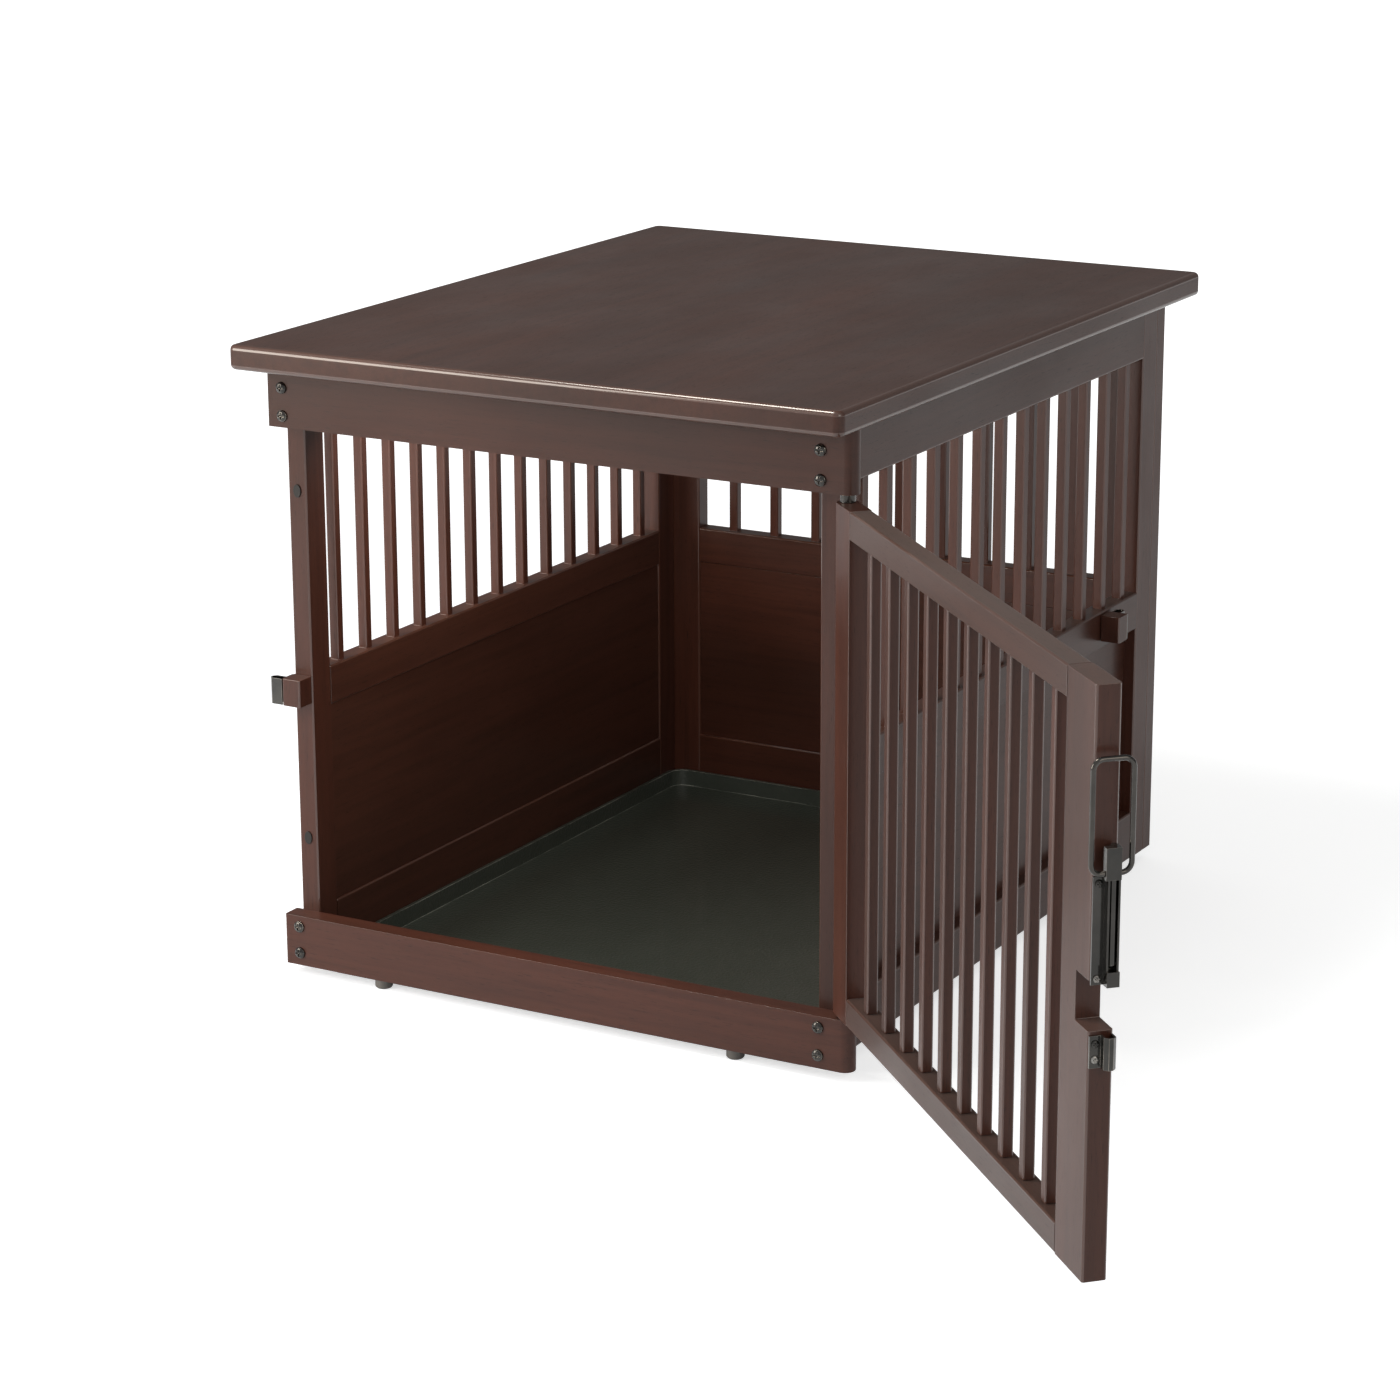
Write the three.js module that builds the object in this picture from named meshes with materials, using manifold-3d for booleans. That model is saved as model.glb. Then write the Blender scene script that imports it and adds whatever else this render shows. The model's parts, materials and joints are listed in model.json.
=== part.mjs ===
// A dog crate end table: a framed wooden crate under a solid tabletop.
// Millimetres, +Z up, the front faces -Y, and the origin is the centre of the tabletop's upper face.
// Inside the crate group the floor is z = 0; the whole group is then lowered by the table's height.
import * as THREE from "three";
import { mergeVertices } from "three/addons/utils/BufferGeometryUtils.js";
import Module from "manifold-3d";

const wasm = await Module();
wasm.setup();

// ---- tabletop ----
const topWidth = 600;
const topDepth = 744;
const topThickness = 22;
const topCornerRadius = 8;
const topEdgeRadius = 4.5;

// ---- cabinet ----
const cabinetHeight = 552; // underside of the tabletop above the front bottom rail's lower edge
const footHeight = 9; // front bottom rail's lower edge above the floor
const footRadius = 8;
const footRecess = 4; // how far a foot's dowel goes up into the wood
const footDowelRadius = 3;
const footChamfer = 1.5;
const footInset = 94; // feet in from the side panels' outer faces
const boardThickness = 19;
const sidePanelInset = 25; // side panels' outer faces in from the tabletop's sides
const backInset = 25; // back panel's outer face in from the tabletop's rear edge
const frontInset = 31; // front rails' faces in from the tabletop's front edge
const panelBottomLift = 3; // side and back panels' lower edges above the front rail's lower edge
const edgeEase = 1.2; // bevel along every board's long edges

// ---- front rails ----
const topRailHeight = 53.5;
const bottomRailHeight = 47;
const railLeftInset = 19; // rails' square end in from the tabletop's left side
const railRightInset = 4; // rails' rounded end in from the tabletop's right side

// ---- panel frames ----
const panelTopRailHeight = 52;
const panelBottomRailHeight = 47.5;
const middleRailHeight = 36;
const middleRailLevel = 236; // lower edge of the middle rails above the front rail's lower edge
const frontStileWidth = 29;
const rearStileWidth = 31;
const backStileWidth = 49;
const lowerPanelThickness = 5;
const lowerPanelRecess = 12; // set back from the frame's outer face
const lowerPanelEase = 0.2;

// ---- bars ----
const barSize = 9.5;
const barPitch = 45.1;
const backBarPitch = 47.2;
const barEndRoom = 15; // least space between an end bar and its stile
const barEase = 1;
const barRoot = 2.4; // length of a bar inside its middle rail

// ---- door ----
const doorProud = 1.5; // the closed door's face stands this far in front of the rails
const doorTopGap = 7;
const doorBottomGap = 5;
const doorFreeInset = 2; // the closed door's free end in from the rails' square end
const hingeStileWidth = 42;
const freeStileWidth = 54;
const doorRailHeight = 24;
const doorJoint = 0.3; // hairline between the door's pieces
const notchLevel = 250.5; // lower edge of the latch notch above the floor
const notchHeight = 37;
const notchClearance = 2;

// The photographed angle of the door, in degrees from closed.
const doorOpenAngle = 135.6;

// ---- pivot pins ----
const pinRadius = 3;
const pinBite = 10; // length of a pin inside each piece of wood
const pinCollarRadius = 6.5;
const holeClearance = 0.3;

// ---- latch ----
const rodRadius = 2.5;
const rodReach = 5.5; // rod's axis beyond the door's end face
const rodSetBack = 13.75; // rod's axis from the door's inner face
const rodTipLevel = 299; // raised rod's lower tip above the floor
const rodTipTaper = 1.5;
const strapThickness = 1.5;
const strapRoom = 0.7; // clearance between the rod and a strap's inside
const strapEdge = 0.5; // plates stop this far from the door's faces
const channelLevel = 285;
const channelLength = 79;
const channelWallHeight = 8;
const collarHeight = 11;
const guideLevel = 223.5;
const strapHeight = 24;
const carriageLevel = 364.5;
const carriageHeight = 23.5;
const carriageWidth = 11.5;
const carriageDepth = 6;
const carriageGap = 0.5; // between the channel's walls and the carriage
const carriageNeckLift = 6; // the neck starts this far above the carriage's lower edge
const neckBite = 1; // length of the neck inside the carriage
const boltStopGap = 1; // left under the lowered carriage
const handleWidth = 34;
const handleHeight = 86;
const handleWireRadius = 2;
const handleCornerRadius = 7.5;
const handleSteps = 60; // points along the wire loop
const handleLift = 4.5; // handle's lower bar above the carriage's lower edge

// ---- keepers ----
const keeperDepth = 20;
const keeperWidth = 19;
const keeperHeight = 25;
const keeperLevel = 253.5;
const keeperReach = 9.5; // rod's axis beyond the block's end face
const seat = 0.3; // hairline under pieces that are set on a turned face

// ---- tray ----
const trayHeight = 20;
const trayWall = 4;
const trayFloor = 3.5;
const trayGap = 0.8;
const trayCornerRadius = 18;

// ---- screws and bumpers ----
const screwHeadRadius = 5.5;
const screwHeadHeight = 3;
const screwShankRadius = 2;
const screwLength = 38;
const screwTaperLength = 5; // the shank narrows over this length
const screwPointLength = 2;
const screwPointRadius = 0.8;
const screwDome = [[1, 0], [0.93, 0.5], [0.72, 0.84], [0.4, 1]]; // shares of the head's radius and height
const screwSlotDepth = 1.6;
const screwSlotWidth = 1.6;
const screwSlotLength = 6.4;
const screwPairSpacing = 25;
const topScrewLevel = 18; // upper pair's upper screw below the tabletop's underside
const bottomScrewLevel = 12; // lower pair's lower screw above the rail's lower edge
const bumperWidth = 8;
const bumperHeight = 12;
const bumperThickness = 1.2;
const lowerBumperLift = 69.5; // lower bumper's middle above the front bottom rail
const upperBumperDrop = 60.5; // upper bumper's middle below the front top rail

// ---- cutting ----
const overshoot = 1; // a cutter runs this far past the face it opens

// ---- worked out from the sizes above ----
const tableHeight = footHeight + cabinetHeight + topThickness;
const undersideLevel = footHeight + cabinetHeight;
const panelBottom = footHeight + panelBottomLift;
const bottomRailTop = panelBottom + panelBottomRailHeight;
const middleRailBottom = footHeight + middleRailLevel;
const middleRailTop = middleRailBottom + middleRailHeight;
const topRailBottom = undersideLevel - panelTopRailHeight;
const outerX = topWidth / 2 - sidePanelInset;
const innerX = outerX - boardThickness;
const railFront = -topDepth / 2 + frontInset;
const railBack = railFront + boardThickness;
const backOuter = topDepth / 2 - backInset;
const backInner = backOuter - boardThickness;
const backMiddle = (backInner + backOuter) / 2;
const footOffset = outerX - footInset; // feet left and right of the middle
const railLeft = -topWidth / 2 + railLeftInset;
const railRight = topWidth / 2 - railRightInset;
const endRadius = boardThickness / 2;
const frontRailMiddle = railFront + endRadius;
const pivotX = railRight - endRadius;
const pivotY = frontRailMiddle - doorProud;
const doorBottom = footHeight + bottomRailHeight + doorBottomGap;
const doorTop = undersideLevel - topRailHeight - doorTopGap;
const doorReach = pivotX - (railLeft + doorFreeInset); // pivot axis to the free end face
const keeperReachFromPivot = pivotX + outerX; // pivot axis to a keeper block's end face
const rodOffset = rodSetBack - endRadius; // rod's axis from the door's middle plane
const strapHalfWidth = rodRadius + strapRoom + strapThickness;
const carriageFrom = channelWallHeight + carriageGap; // carriage's near face beyond the door's end face
const boltTravel = carriageLevel - (channelLevel + collarHeight) - boltStopGap;
const lowerBumperLevel = footHeight + bottomRailHeight + lowerBumperLift;
const upperBumperLevel = undersideLevel - topRailHeight - upperBumperDrop;

// ---- materials ----
const woodFront = new THREE.MeshStandardMaterial({ color: 0x54332a, roughness: 0.45, metalness: 0 });
const woodSide = new THREE.MeshStandardMaterial({ color: 0x4a3028, roughness: 0.45, metalness: 0 });
const woodTop = new THREE.MeshStandardMaterial({ color: 0x5a392f, roughness: 0.35, metalness: 0 });
const woodBar = new THREE.MeshStandardMaterial({ color: 0x4f3127, roughness: 0.5, metalness: 0 });
const bronze = new THREE.MeshStandardMaterial({ color: 0x2b2724, roughness: 0.35, metalness: 0.9 });
const trayPlastic = new THREE.MeshStandardMaterial({ color: 0x1b211d, roughness: 0.55, metalness: 0 });
const rubber = new THREE.MeshStandardMaterial({ color: 0x17130f, roughness: 0.8, metalness: 0 });
const glide = new THREE.MeshStandardMaterial({ color: 0x77736d, roughness: 0.6, metalness: 0 });

// ---- booleans ----
function solidOf(geometry) {
  const bare = geometry.clone();
  bare.deleteAttribute("normal");
  bare.deleteAttribute("uv");
  const merged = mergeVertices(bare, 1e-4);
  return new wasm.Manifold(new wasm.Mesh({
    numProp: 3,
    vertProperties: merged.attributes.position.array,
    triVerts: Uint32Array.from(merged.index.array),
  }));
}

function geometryOf(solid) {
  const mesh = solid.getMesh();
  const geometry = new THREE.BufferGeometry();
  geometry.setAttribute("position", new THREE.BufferAttribute(mesh.vertProperties, 3));
  geometry.setIndex(new THREE.BufferAttribute(mesh.triVerts, 1));
  geometry.computeVertexNormals();
  return geometry;
}

// The other mesh's solid, seen from this mesh; both stand in the same parent.
function seenFrom(mesh, other) {
  mesh.updateMatrix();
  other.updateMatrix();
  return solidOf(other.geometry.clone().applyMatrix4(mesh.matrix.clone().invert().multiply(other.matrix)));
}

function carve(mesh, cutters) {
  let solid = solidOf(mesh.geometry);
  for (const cutter of cutters) {
    solid = solid.subtract(seenFrom(mesh, cutter));
  }
  mesh.geometry = geometryOf(solid);
  return mesh;
}

function join(mesh, others) {
  let solid = solidOf(mesh.geometry);
  for (const other of others) {
    solid = solid.add(seenFrom(mesh, other));
  }
  mesh.geometry = geometryOf(solid);
  return mesh;
}

// ---- basic pieces ----
function piece(name, geometry, material, x, y, z) {
  const mesh = new THREE.Mesh(geometry, material);
  mesh.name = name;
  mesh.position.set(x, y, z);
  return mesh;
}

// A rectangle with its four corners cut off at 45 degrees, centred on the origin.
function easedRectangle(width, height, ease) {
  const w = width / 2;
  const h = height / 2;
  const shape = new THREE.Shape();
  shape.moveTo(-w + ease, -h);
  shape.lineTo(w - ease, -h);
  shape.lineTo(w, -h + ease);
  shape.lineTo(w, h - ease);
  shape.lineTo(w - ease, h);
  shape.lineTo(-w + ease, h);
  shape.lineTo(-w, h - ease);
  shape.lineTo(-w, -h + ease);
  shape.closePath();
  return shape;
}

function roundedRectangle(width, depth, radius) {
  const w = width / 2;
  const d = depth / 2;
  const shape = new THREE.Shape();
  shape.moveTo(-w + radius, -d);
  shape.lineTo(w - radius, -d);
  shape.absarc(w - radius, -d + radius, radius, -Math.PI / 2, 0, false);
  shape.lineTo(w, d - radius);
  shape.absarc(w - radius, d - radius, radius, 0, Math.PI / 2, false);
  shape.lineTo(-w + radius, d);
  shape.absarc(-w + radius, d - radius, radius, Math.PI / 2, Math.PI, false);
  shape.lineTo(-w, -d + radius);
  shape.absarc(-w + radius, -d + radius, radius, Math.PI, 1.5 * Math.PI, false);
  return shape;
}

function prism(shape, height, curveSegments = 8) {
  const geometry = new THREE.ExtrudeGeometry(shape, { depth: height, bevelEnabled: false, curveSegments });
  geometry.translate(0, 0, -height / 2);
  return geometry;
}

// A board between two corners whose four long edges, along the named axis, are eased.
function board(name, axis, low, high, material, ease = edgeEase) {
  const [dx, dy, dz] = high.map((value, i) => value - low[i]);
  const middle = high.map((value, i) => (value + low[i]) / 2);
  let geometry;
  if (axis === "z") {
    geometry = prism(easedRectangle(dx, dy, ease), dz);
  } else if (axis === "x") {
    geometry = prism(easedRectangle(dz, dy, ease), dx);
    geometry.rotateY(Math.PI / 2);
  } else {
    geometry = prism(easedRectangle(dx, dz, ease), dy);
    geometry.rotateX(Math.PI / 2);
  }
  return piece(name, geometry, material, ...middle);
}

function uprightCylinder(radius, bottom, top, x, y) {
  const geometry = new THREE.CylinderGeometry(radius, radius, top - bottom, 24);
  geometry.rotateX(Math.PI / 2);
  return piece("", geometry, bronze, x, y, (bottom + top) / 2);
}

function ordered(a, b) {
  return [Math.min(a, b), Math.max(a, b)];
}

function bar(name, x, y, bottom, top) {
  const low = [x - barSize / 2, y - barSize / 2, bottom];
  const high = [x + barSize / 2, y + barSize / 2, top];
  return board(name, "z", low, high, woodBar, barEase);
}

// Centres of evenly pitched bars that fill a span between two stiles.
function barCentres(from, to, pitch) {
  const steps = Math.floor((to - from - 2 * barEndRoom - barSize) / pitch);
  const middle = (from + to) / 2;
  return Array.from({ length: steps + 1 }, (_, i) => middle + (i - steps / 2) * pitch);
}

// ---- tabletop ----
function tableTop() {
  const outline = roundedRectangle(topWidth, topDepth, topCornerRadius);
  const geometry = new THREE.ExtrudeGeometry(outline, {
    depth: topThickness - 2 * topEdgeRadius,
    bevelThickness: topEdgeRadius,
    bevelSize: topEdgeRadius,
    bevelOffset: -topEdgeRadius,
    bevelSegments: 3,
    curveSegments: 4,
  });
  geometry.translate(0, 0, topEdgeRadius - topThickness / 2);
  return piece("table_top", geometry, woodTop, 0, 0, undersideLevel + topThickness / 2);
}

// ---- front rails: square at the left, rounded about the door's pivot at the right ----
function frontRail(name, bottom, height) {
  const left = railLeft - pivotX;
  const shape = new THREE.Shape();
  shape.moveTo(left + edgeEase, -endRadius);
  shape.lineTo(0, -endRadius);
  shape.absarc(0, 0, endRadius, -Math.PI / 2, Math.PI / 2, false);
  shape.lineTo(left + edgeEase, endRadius);
  shape.lineTo(left, endRadius - edgeEase);
  shape.lineTo(left, -endRadius + edgeEase);
  shape.closePath();
  return piece(name, prism(shape, height, 6), woodFront, pivotX, frontRailMiddle, bottom + height / 2);
}

// ---- screws ----
function screwPlaces() {
  const topHigh = undersideLevel - topScrewLevel;
  const bottomLow = footHeight + bottomScrewLevel;
  const levels = {
    top_upper: topHigh,
    top_lower: topHigh - screwPairSpacing,
    bottom_upper: bottomLow + screwPairSpacing,
    bottom_lower: bottomLow,
  };
  const places = [];
  for (const [side, sign] of [["left", -1], ["right", 1]]) {
    for (const [level, z] of Object.entries(levels)) {
      places.push({ name: `${side}_${level}_screw`, x: sign * (innerX + outerX) / 2, z });
    }
  }
  return places;
}

// A screw along +Y with its head's underside on the rail's front face.
function screw({ name, x, z }) {
  const dome = screwDome.map(([r, h]) => new THREE.Vector2(screwHeadRadius * r, -screwHeadHeight * h));
  const profile = [
    new THREE.Vector2(0, screwLength),
    new THREE.Vector2(screwPointRadius, screwLength - screwPointLength),
    new THREE.Vector2(screwShankRadius, screwLength - screwTaperLength),
    new THREE.Vector2(screwShankRadius, 0),
    ...dome,
    new THREE.Vector2(0, -screwHeadHeight),
  ].reverse();
  const body = piece(name, new THREE.LatheGeometry(profile, 20), bronze, x, railFront, z);
  const faceY = railFront - screwHeadHeight;
  const slot = (w, h) => piece("", new THREE.BoxGeometry(w, 2 * screwSlotDepth, h), bronze, x, faceY, z);
  return carve(body, [slot(screwSlotWidth, screwSlotLength), slot(screwSlotLength, screwSlotWidth)]);
}

function screwHole({ x, z }) {
  const length = screwLength + 2 * overshoot;
  const radius = screwShankRadius + holeClearance;
  const geometry = new THREE.CylinderGeometry(radius, radius, length, 16);
  return piece("", geometry, bronze, x, railFront - overshoot + length / 2, z);
}

// ---- side panels ----
function sidePanel(side, sign) {
  const group = new THREE.Group();
  const [xLow, xHigh] = ordered(sign * outerX, sign * innerX);
  const yFront = railBack + frontStileWidth;
  const yRear = backInner - rearStileWidth;
  const stileSpan = [panelBottom, undersideLevel];
  const railSpan = [yFront, yRear];
  const framePiece = (name, axis, [yLow, yHigh], [zLow, zHigh]) =>
    board(`${side}_${name}`, axis, [xLow, yLow, zLow], [xHigh, yHigh, zHigh], woodSide);
  const frontStile = framePiece("front_stile", "z", [railBack, yFront], stileSpan);
  group.add(carve(frontStile, screwPlaces().map(screwHole)));
  group.add(framePiece("rear_stile", "z", [yRear, backInner], stileSpan));
  group.add(framePiece("top_rail", "y", railSpan, [topRailBottom, undersideLevel]));
  group.add(framePiece("bottom_rail", "y", railSpan, [panelBottom, bottomRailTop]));
  const middle = (xLow + xHigh) / 2;
  const bars = barCentres(yFront, yRear, barPitch).map((y) =>
    bar("", middle, y, middleRailTop - barRoot, topRailBottom));
  const barredRail = framePiece("barred_rail", "y", railSpan, [middleRailBottom, middleRailTop]);
  group.add(join(barredRail, bars));
  const face = sign * (outerX - lowerPanelRecess);
  const [panelLow, panelHigh] = ordered(face, face - sign * lowerPanelThickness);
  group.add(board(`${side}_lower_panel`, "y", [panelLow, yFront, bottomRailTop],
    [panelHigh, yRear, middleRailBottom], woodSide, lowerPanelEase));
  return group;
}

// ---- back panel, laid over the side panels' rear edges ----
function backPanel() {
  const group = new THREE.Group();
  const stileX = outerX - backStileWidth;
  const stileSpan = [panelBottom, undersideLevel];
  const railSpan = [-stileX, stileX];
  const framePiece = (name, axis, [xLow, xHigh], [zLow, zHigh]) =>
    board(`back_${name}`, axis, [xLow, backInner, zLow], [xHigh, backOuter, zHigh], woodSide);
  group.add(framePiece("left_stile", "z", [-outerX, -stileX], stileSpan));
  group.add(framePiece("right_stile", "z", [stileX, outerX], stileSpan));
  group.add(framePiece("top_rail", "x", railSpan, [topRailBottom, undersideLevel]));
  const bottomRail = framePiece("bottom_rail", "x", railSpan, [panelBottom, bottomRailTop]);
  const footHoles = [-1, 1].map((sign) => footHole(sign * footOffset, backMiddle, panelBottom));
  group.add(carve(bottomRail, footHoles));
  const bars = barCentres(-stileX, stileX, backBarPitch).map((x) =>
    bar("", x, backMiddle, middleRailTop - barRoot, topRailBottom));
  const barredRail = framePiece("barred_rail", "x", railSpan, [middleRailBottom, middleRailTop]);
  group.add(join(barredRail, bars));
  const face = backOuter - lowerPanelRecess;
  group.add(board("back_lower_panel", "x", [-stileX, face - lowerPanelThickness, bottomRailTop],
    [stileX, face, middleRailBottom], woodSide, lowerPanelEase));
  return group;
}

// ---- feet: a glide with a dowel that goes up into the wood ----
function foot(name, x, y, height) {
  const profile = [
    new THREE.Vector2(0, 0),
    new THREE.Vector2(footRadius - footChamfer, 0),
    new THREE.Vector2(footRadius, footChamfer),
    new THREE.Vector2(footRadius, height),
    new THREE.Vector2(footDowelRadius, height),
    new THREE.Vector2(footDowelRadius, height + footRecess),
    new THREE.Vector2(0, height + footRecess),
  ];
  const geometry = new THREE.LatheGeometry(profile, 24);
  geometry.rotateX(Math.PI / 2);
  return piece(name, geometry, glide, x, y, 0);
}

function footHole(x, y, level) {
  const top = level + footRecess + holeClearance;
  return uprightCylinder(footDowelRadius + holeClearance, level - overshoot, top, x, y);
}

// ---- pivot pins: a shaft into the rail and into the door, and a collar in the gap between them ----
function pivotPin(name, gapBottom, gapTop) {
  const profile = [
    new THREE.Vector2(0, gapBottom - pinBite),
    new THREE.Vector2(pinRadius, gapBottom - pinBite),
    new THREE.Vector2(pinRadius, gapBottom + seat),
    new THREE.Vector2(pinCollarRadius, gapBottom + seat),
    new THREE.Vector2(pinCollarRadius, gapTop - seat),
    new THREE.Vector2(pinRadius, gapTop - seat),
    new THREE.Vector2(pinRadius, gapTop + pinBite),
    new THREE.Vector2(0, gapTop + pinBite),
  ];
  const geometry = new THREE.LatheGeometry(profile, 24);
  geometry.rotateX(Math.PI / 2);
  return piece(name, geometry, bronze, pivotX, pivotY, 0);
}

function pinHoles(x, y) {
  const reach = pinBite + holeClearance;
  const radius = pinRadius + holeClearance;
  return [
    uprightCylinder(radius, doorBottom - doorBottomGap - reach, doorBottom + reach, x, y),
    uprightCylinder(radius, doorTop - reach, doorTop + doorTopGap + reach, x, y),
  ];
}

// ---- door, built from its pivot axis: +X along the door, +Y towards its outside face ----
function door() {
  const group = new THREE.Group();
  const hingeInner = hingeStileWidth - endRadius;
  const freeInner = doorReach - freeStileWidth;
  const railFrom = hingeInner + doorJoint;
  const railTo = freeInner - doorJoint;
  const shape = new THREE.Shape();
  shape.moveTo(hingeInner, -endRadius);
  shape.lineTo(hingeInner, endRadius);
  shape.lineTo(0, endRadius);
  shape.absarc(0, 0, endRadius, Math.PI / 2, 1.5 * Math.PI, false);
  shape.closePath();
  const stileGeometry = prism(shape, doorTop - doorBottom, 6);
  const hingeStile = piece("door_hinge_stile", stileGeometry, woodSide, 0, 0, (doorBottom + doorTop) / 2);
  group.add(carve(hingeStile, pinHoles(0, 0)));
  const framePiece = (name, axis, [xLow, xHigh], [zLow, zHigh]) =>
    board(`door_${name}`, axis, [xLow, -endRadius, zLow], [xHigh, endRadius, zHigh], woodSide);
  const freeStile = framePiece("free_stile", "z", [freeInner, doorReach], [doorBottom, doorTop]);
  const notchFrom = keeperReachFromPivot - keeperWidth - notchClearance;
  const notchLength = doorReach - notchFrom + overshoot;
  const notchBox = new THREE.BoxGeometry(notchLength, 2 * boardThickness, notchHeight);
  const notch = piece("", notchBox, bronze, notchFrom + notchLength / 2, 0, notchLevel + notchHeight / 2);
  group.add(carve(freeStile, [notch]));
  const barBottom = doorBottom + doorRailHeight;
  const barTop = doorTop - doorRailHeight;
  group.add(framePiece("top_rail", "x", [railFrom, railTo], [barTop, doorTop]));
  group.add(framePiece("bottom_rail", "x", [railFrom, railTo], [doorBottom, barBottom]));
  barCentres(hingeInner, freeInner, barPitch).forEach((x, i) => {
    group.add(bar(`door_bar_${i + 1}`, x, 0, barBottom + doorJoint, barTop - doorJoint));
  });
  return group;
}

// A folded strap on a face: a flat flange, then a hump that holds the rod at the given reach.
function strap(name, face, flangeFrom, reach, bottom) {
  const t = strapThickness;
  const cavity = rodRadius + strapRoom;
  const crest = reach + cavity + t;
  const shape = new THREE.Shape();
  shape.moveTo(seat, flangeFrom);
  shape.lineTo(seat + t, flangeFrom);
  shape.lineTo(seat + t, rodOffset - strapHalfWidth);
  shape.lineTo(crest - 2 * t, rodOffset - strapHalfWidth);
  shape.lineTo(crest, rodOffset - strapHalfWidth + 2 * t);
  shape.lineTo(crest, rodOffset + strapHalfWidth - 2 * t);
  shape.lineTo(crest - 2 * t, rodOffset + strapHalfWidth);
  shape.lineTo(seat, rodOffset + strapHalfWidth);
  shape.lineTo(seat, rodOffset + cavity);
  shape.lineTo(crest - 2 * t, rodOffset + cavity);
  shape.lineTo(crest - t, rodOffset + cavity - t);
  shape.lineTo(crest - t, rodOffset - cavity + t);
  shape.lineTo(crest - 2 * t, rodOffset - cavity);
  shape.lineTo(seat, rodOffset - cavity);
  shape.closePath();
  return piece(name, prism(shape, strapHeight), bronze, face, 0, bottom + strapHeight / 2);
}

// ---- latch on the door's free end ----
function latchChannel() {
  const cavity = rodRadius + strapRoom;
  const t = strapThickness;
  const shape = new THREE.Shape();
  shape.moveTo(seat, -endRadius + strapEdge);
  shape.lineTo(seat + t, -endRadius + strapEdge);
  shape.lineTo(seat + t, rodOffset - cavity - t);
  shape.lineTo(channelWallHeight, rodOffset - cavity - t);
  shape.lineTo(channelWallHeight, rodOffset - cavity);
  shape.lineTo(seat + t, rodOffset - cavity);
  shape.lineTo(seat + t, rodOffset + cavity);
  shape.lineTo(channelWallHeight, rodOffset + cavity);
  shape.lineTo(channelWallHeight, rodOffset + strapHalfWidth);
  shape.lineTo(seat, rodOffset + strapHalfWidth);
  shape.closePath();
  const channelMiddle = channelLevel + channelLength / 2;
  const channel = piece("latch_channel", prism(shape, channelLength), bronze, doorReach, 0, channelMiddle);
  const collarFrom = seat + t / 2;
  const collarTo = rodReach + cavity + t;
  const collarBox = new THREE.BoxGeometry(collarTo - collarFrom, 2 * strapHalfWidth, collarHeight);
  const collarX = doorReach + (collarFrom + collarTo) / 2;
  join(channel, [piece("", collarBox, bronze, collarX, rodOffset, channelLevel + collarHeight / 2)]);
  const holeFrom = channelLevel - overshoot;
  const holeTo = channelLevel + collarHeight + overshoot;
  const holeRadius = rodRadius + holeClearance;
  return carve(channel, [uprightCylinder(holeRadius, holeFrom, holeTo, doorReach + rodReach, rodOffset)]);
}

function latchBolt() {
  const rodTop = carriageLevel + carriageHeight;
  const rodX = doorReach + rodReach;
  const profile = [
    new THREE.Vector2(0, rodTipLevel),
    new THREE.Vector2(rodRadius - rodTipTaper, rodTipLevel),
    new THREE.Vector2(rodRadius, rodTipLevel + rodTipTaper),
    new THREE.Vector2(rodRadius, rodTop),
    new THREE.Vector2(0, rodTop),
  ];
  const geometry = new THREE.LatheGeometry(profile, 16);
  geometry.rotateX(Math.PI / 2);
  const rod = piece("latch_bolt", geometry, bronze, rodX, rodOffset, 0);
  const neckLength = carriageFrom - rodReach + neckBite;
  const neckHeight = carriageHeight - carriageNeckLift;
  const neckBox = new THREE.BoxGeometry(neckLength, 2 * rodRadius + strapRoom, neckHeight);
  const neck = piece("", neckBox, bronze, rodX + neckLength / 2, rodOffset, rodTop - neckHeight / 2);
  const blockBox = new THREE.BoxGeometry(carriageDepth, carriageWidth, carriageHeight);
  const blockX = doorReach + carriageFrom + carriageDepth / 2;
  const blockY = rodOffset - carriageWidth / 2 + rodRadius;
  join(rod, [neck, piece("", blockBox, bronze, blockX, blockY, rodTop - carriageHeight / 2)]);
  const boreRadius = handleWireRadius + holeClearance;
  const bore = new THREE.CylinderGeometry(boreRadius, boreRadius, 2 * carriageWidth, 20);
  return carve(rod, [piece("", bore, bronze, blockX, blockY, carriageLevel + handleLift)]);
}

// A wire loop that straddles the door's edge; its lower bar runs through the carriage.
function latchHandle() {
  const wireWidth = handleWidth - 2 * handleWireRadius;
  const wireHeight = handleHeight - 2 * handleWireRadius;
  const outline = roundedRectangle(wireWidth, wireHeight, handleCornerRadius);
  const spaced = outline.getSpacedPoints(handleSteps).slice(0, -1);
  const points = spaced.map((point) => new THREE.Vector3(0, point.x, point.y));
  const section = new THREE.Shape();
  section.absarc(0, 0, handleWireRadius, 0, 2 * Math.PI, false);
  const geometry = new THREE.ExtrudeGeometry(section, {
    extrudePath: new THREE.CatmullRomCurve3(points, true),
    steps: handleSteps,
    curveSegments: 4,
    bevelEnabled: false,
  });
  const x = doorReach + carriageFrom + carriageDepth / 2;
  return piece("latch_handle", geometry, bronze, x, 0, carriageLevel + handleLift + wireHeight / 2);
}

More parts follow.
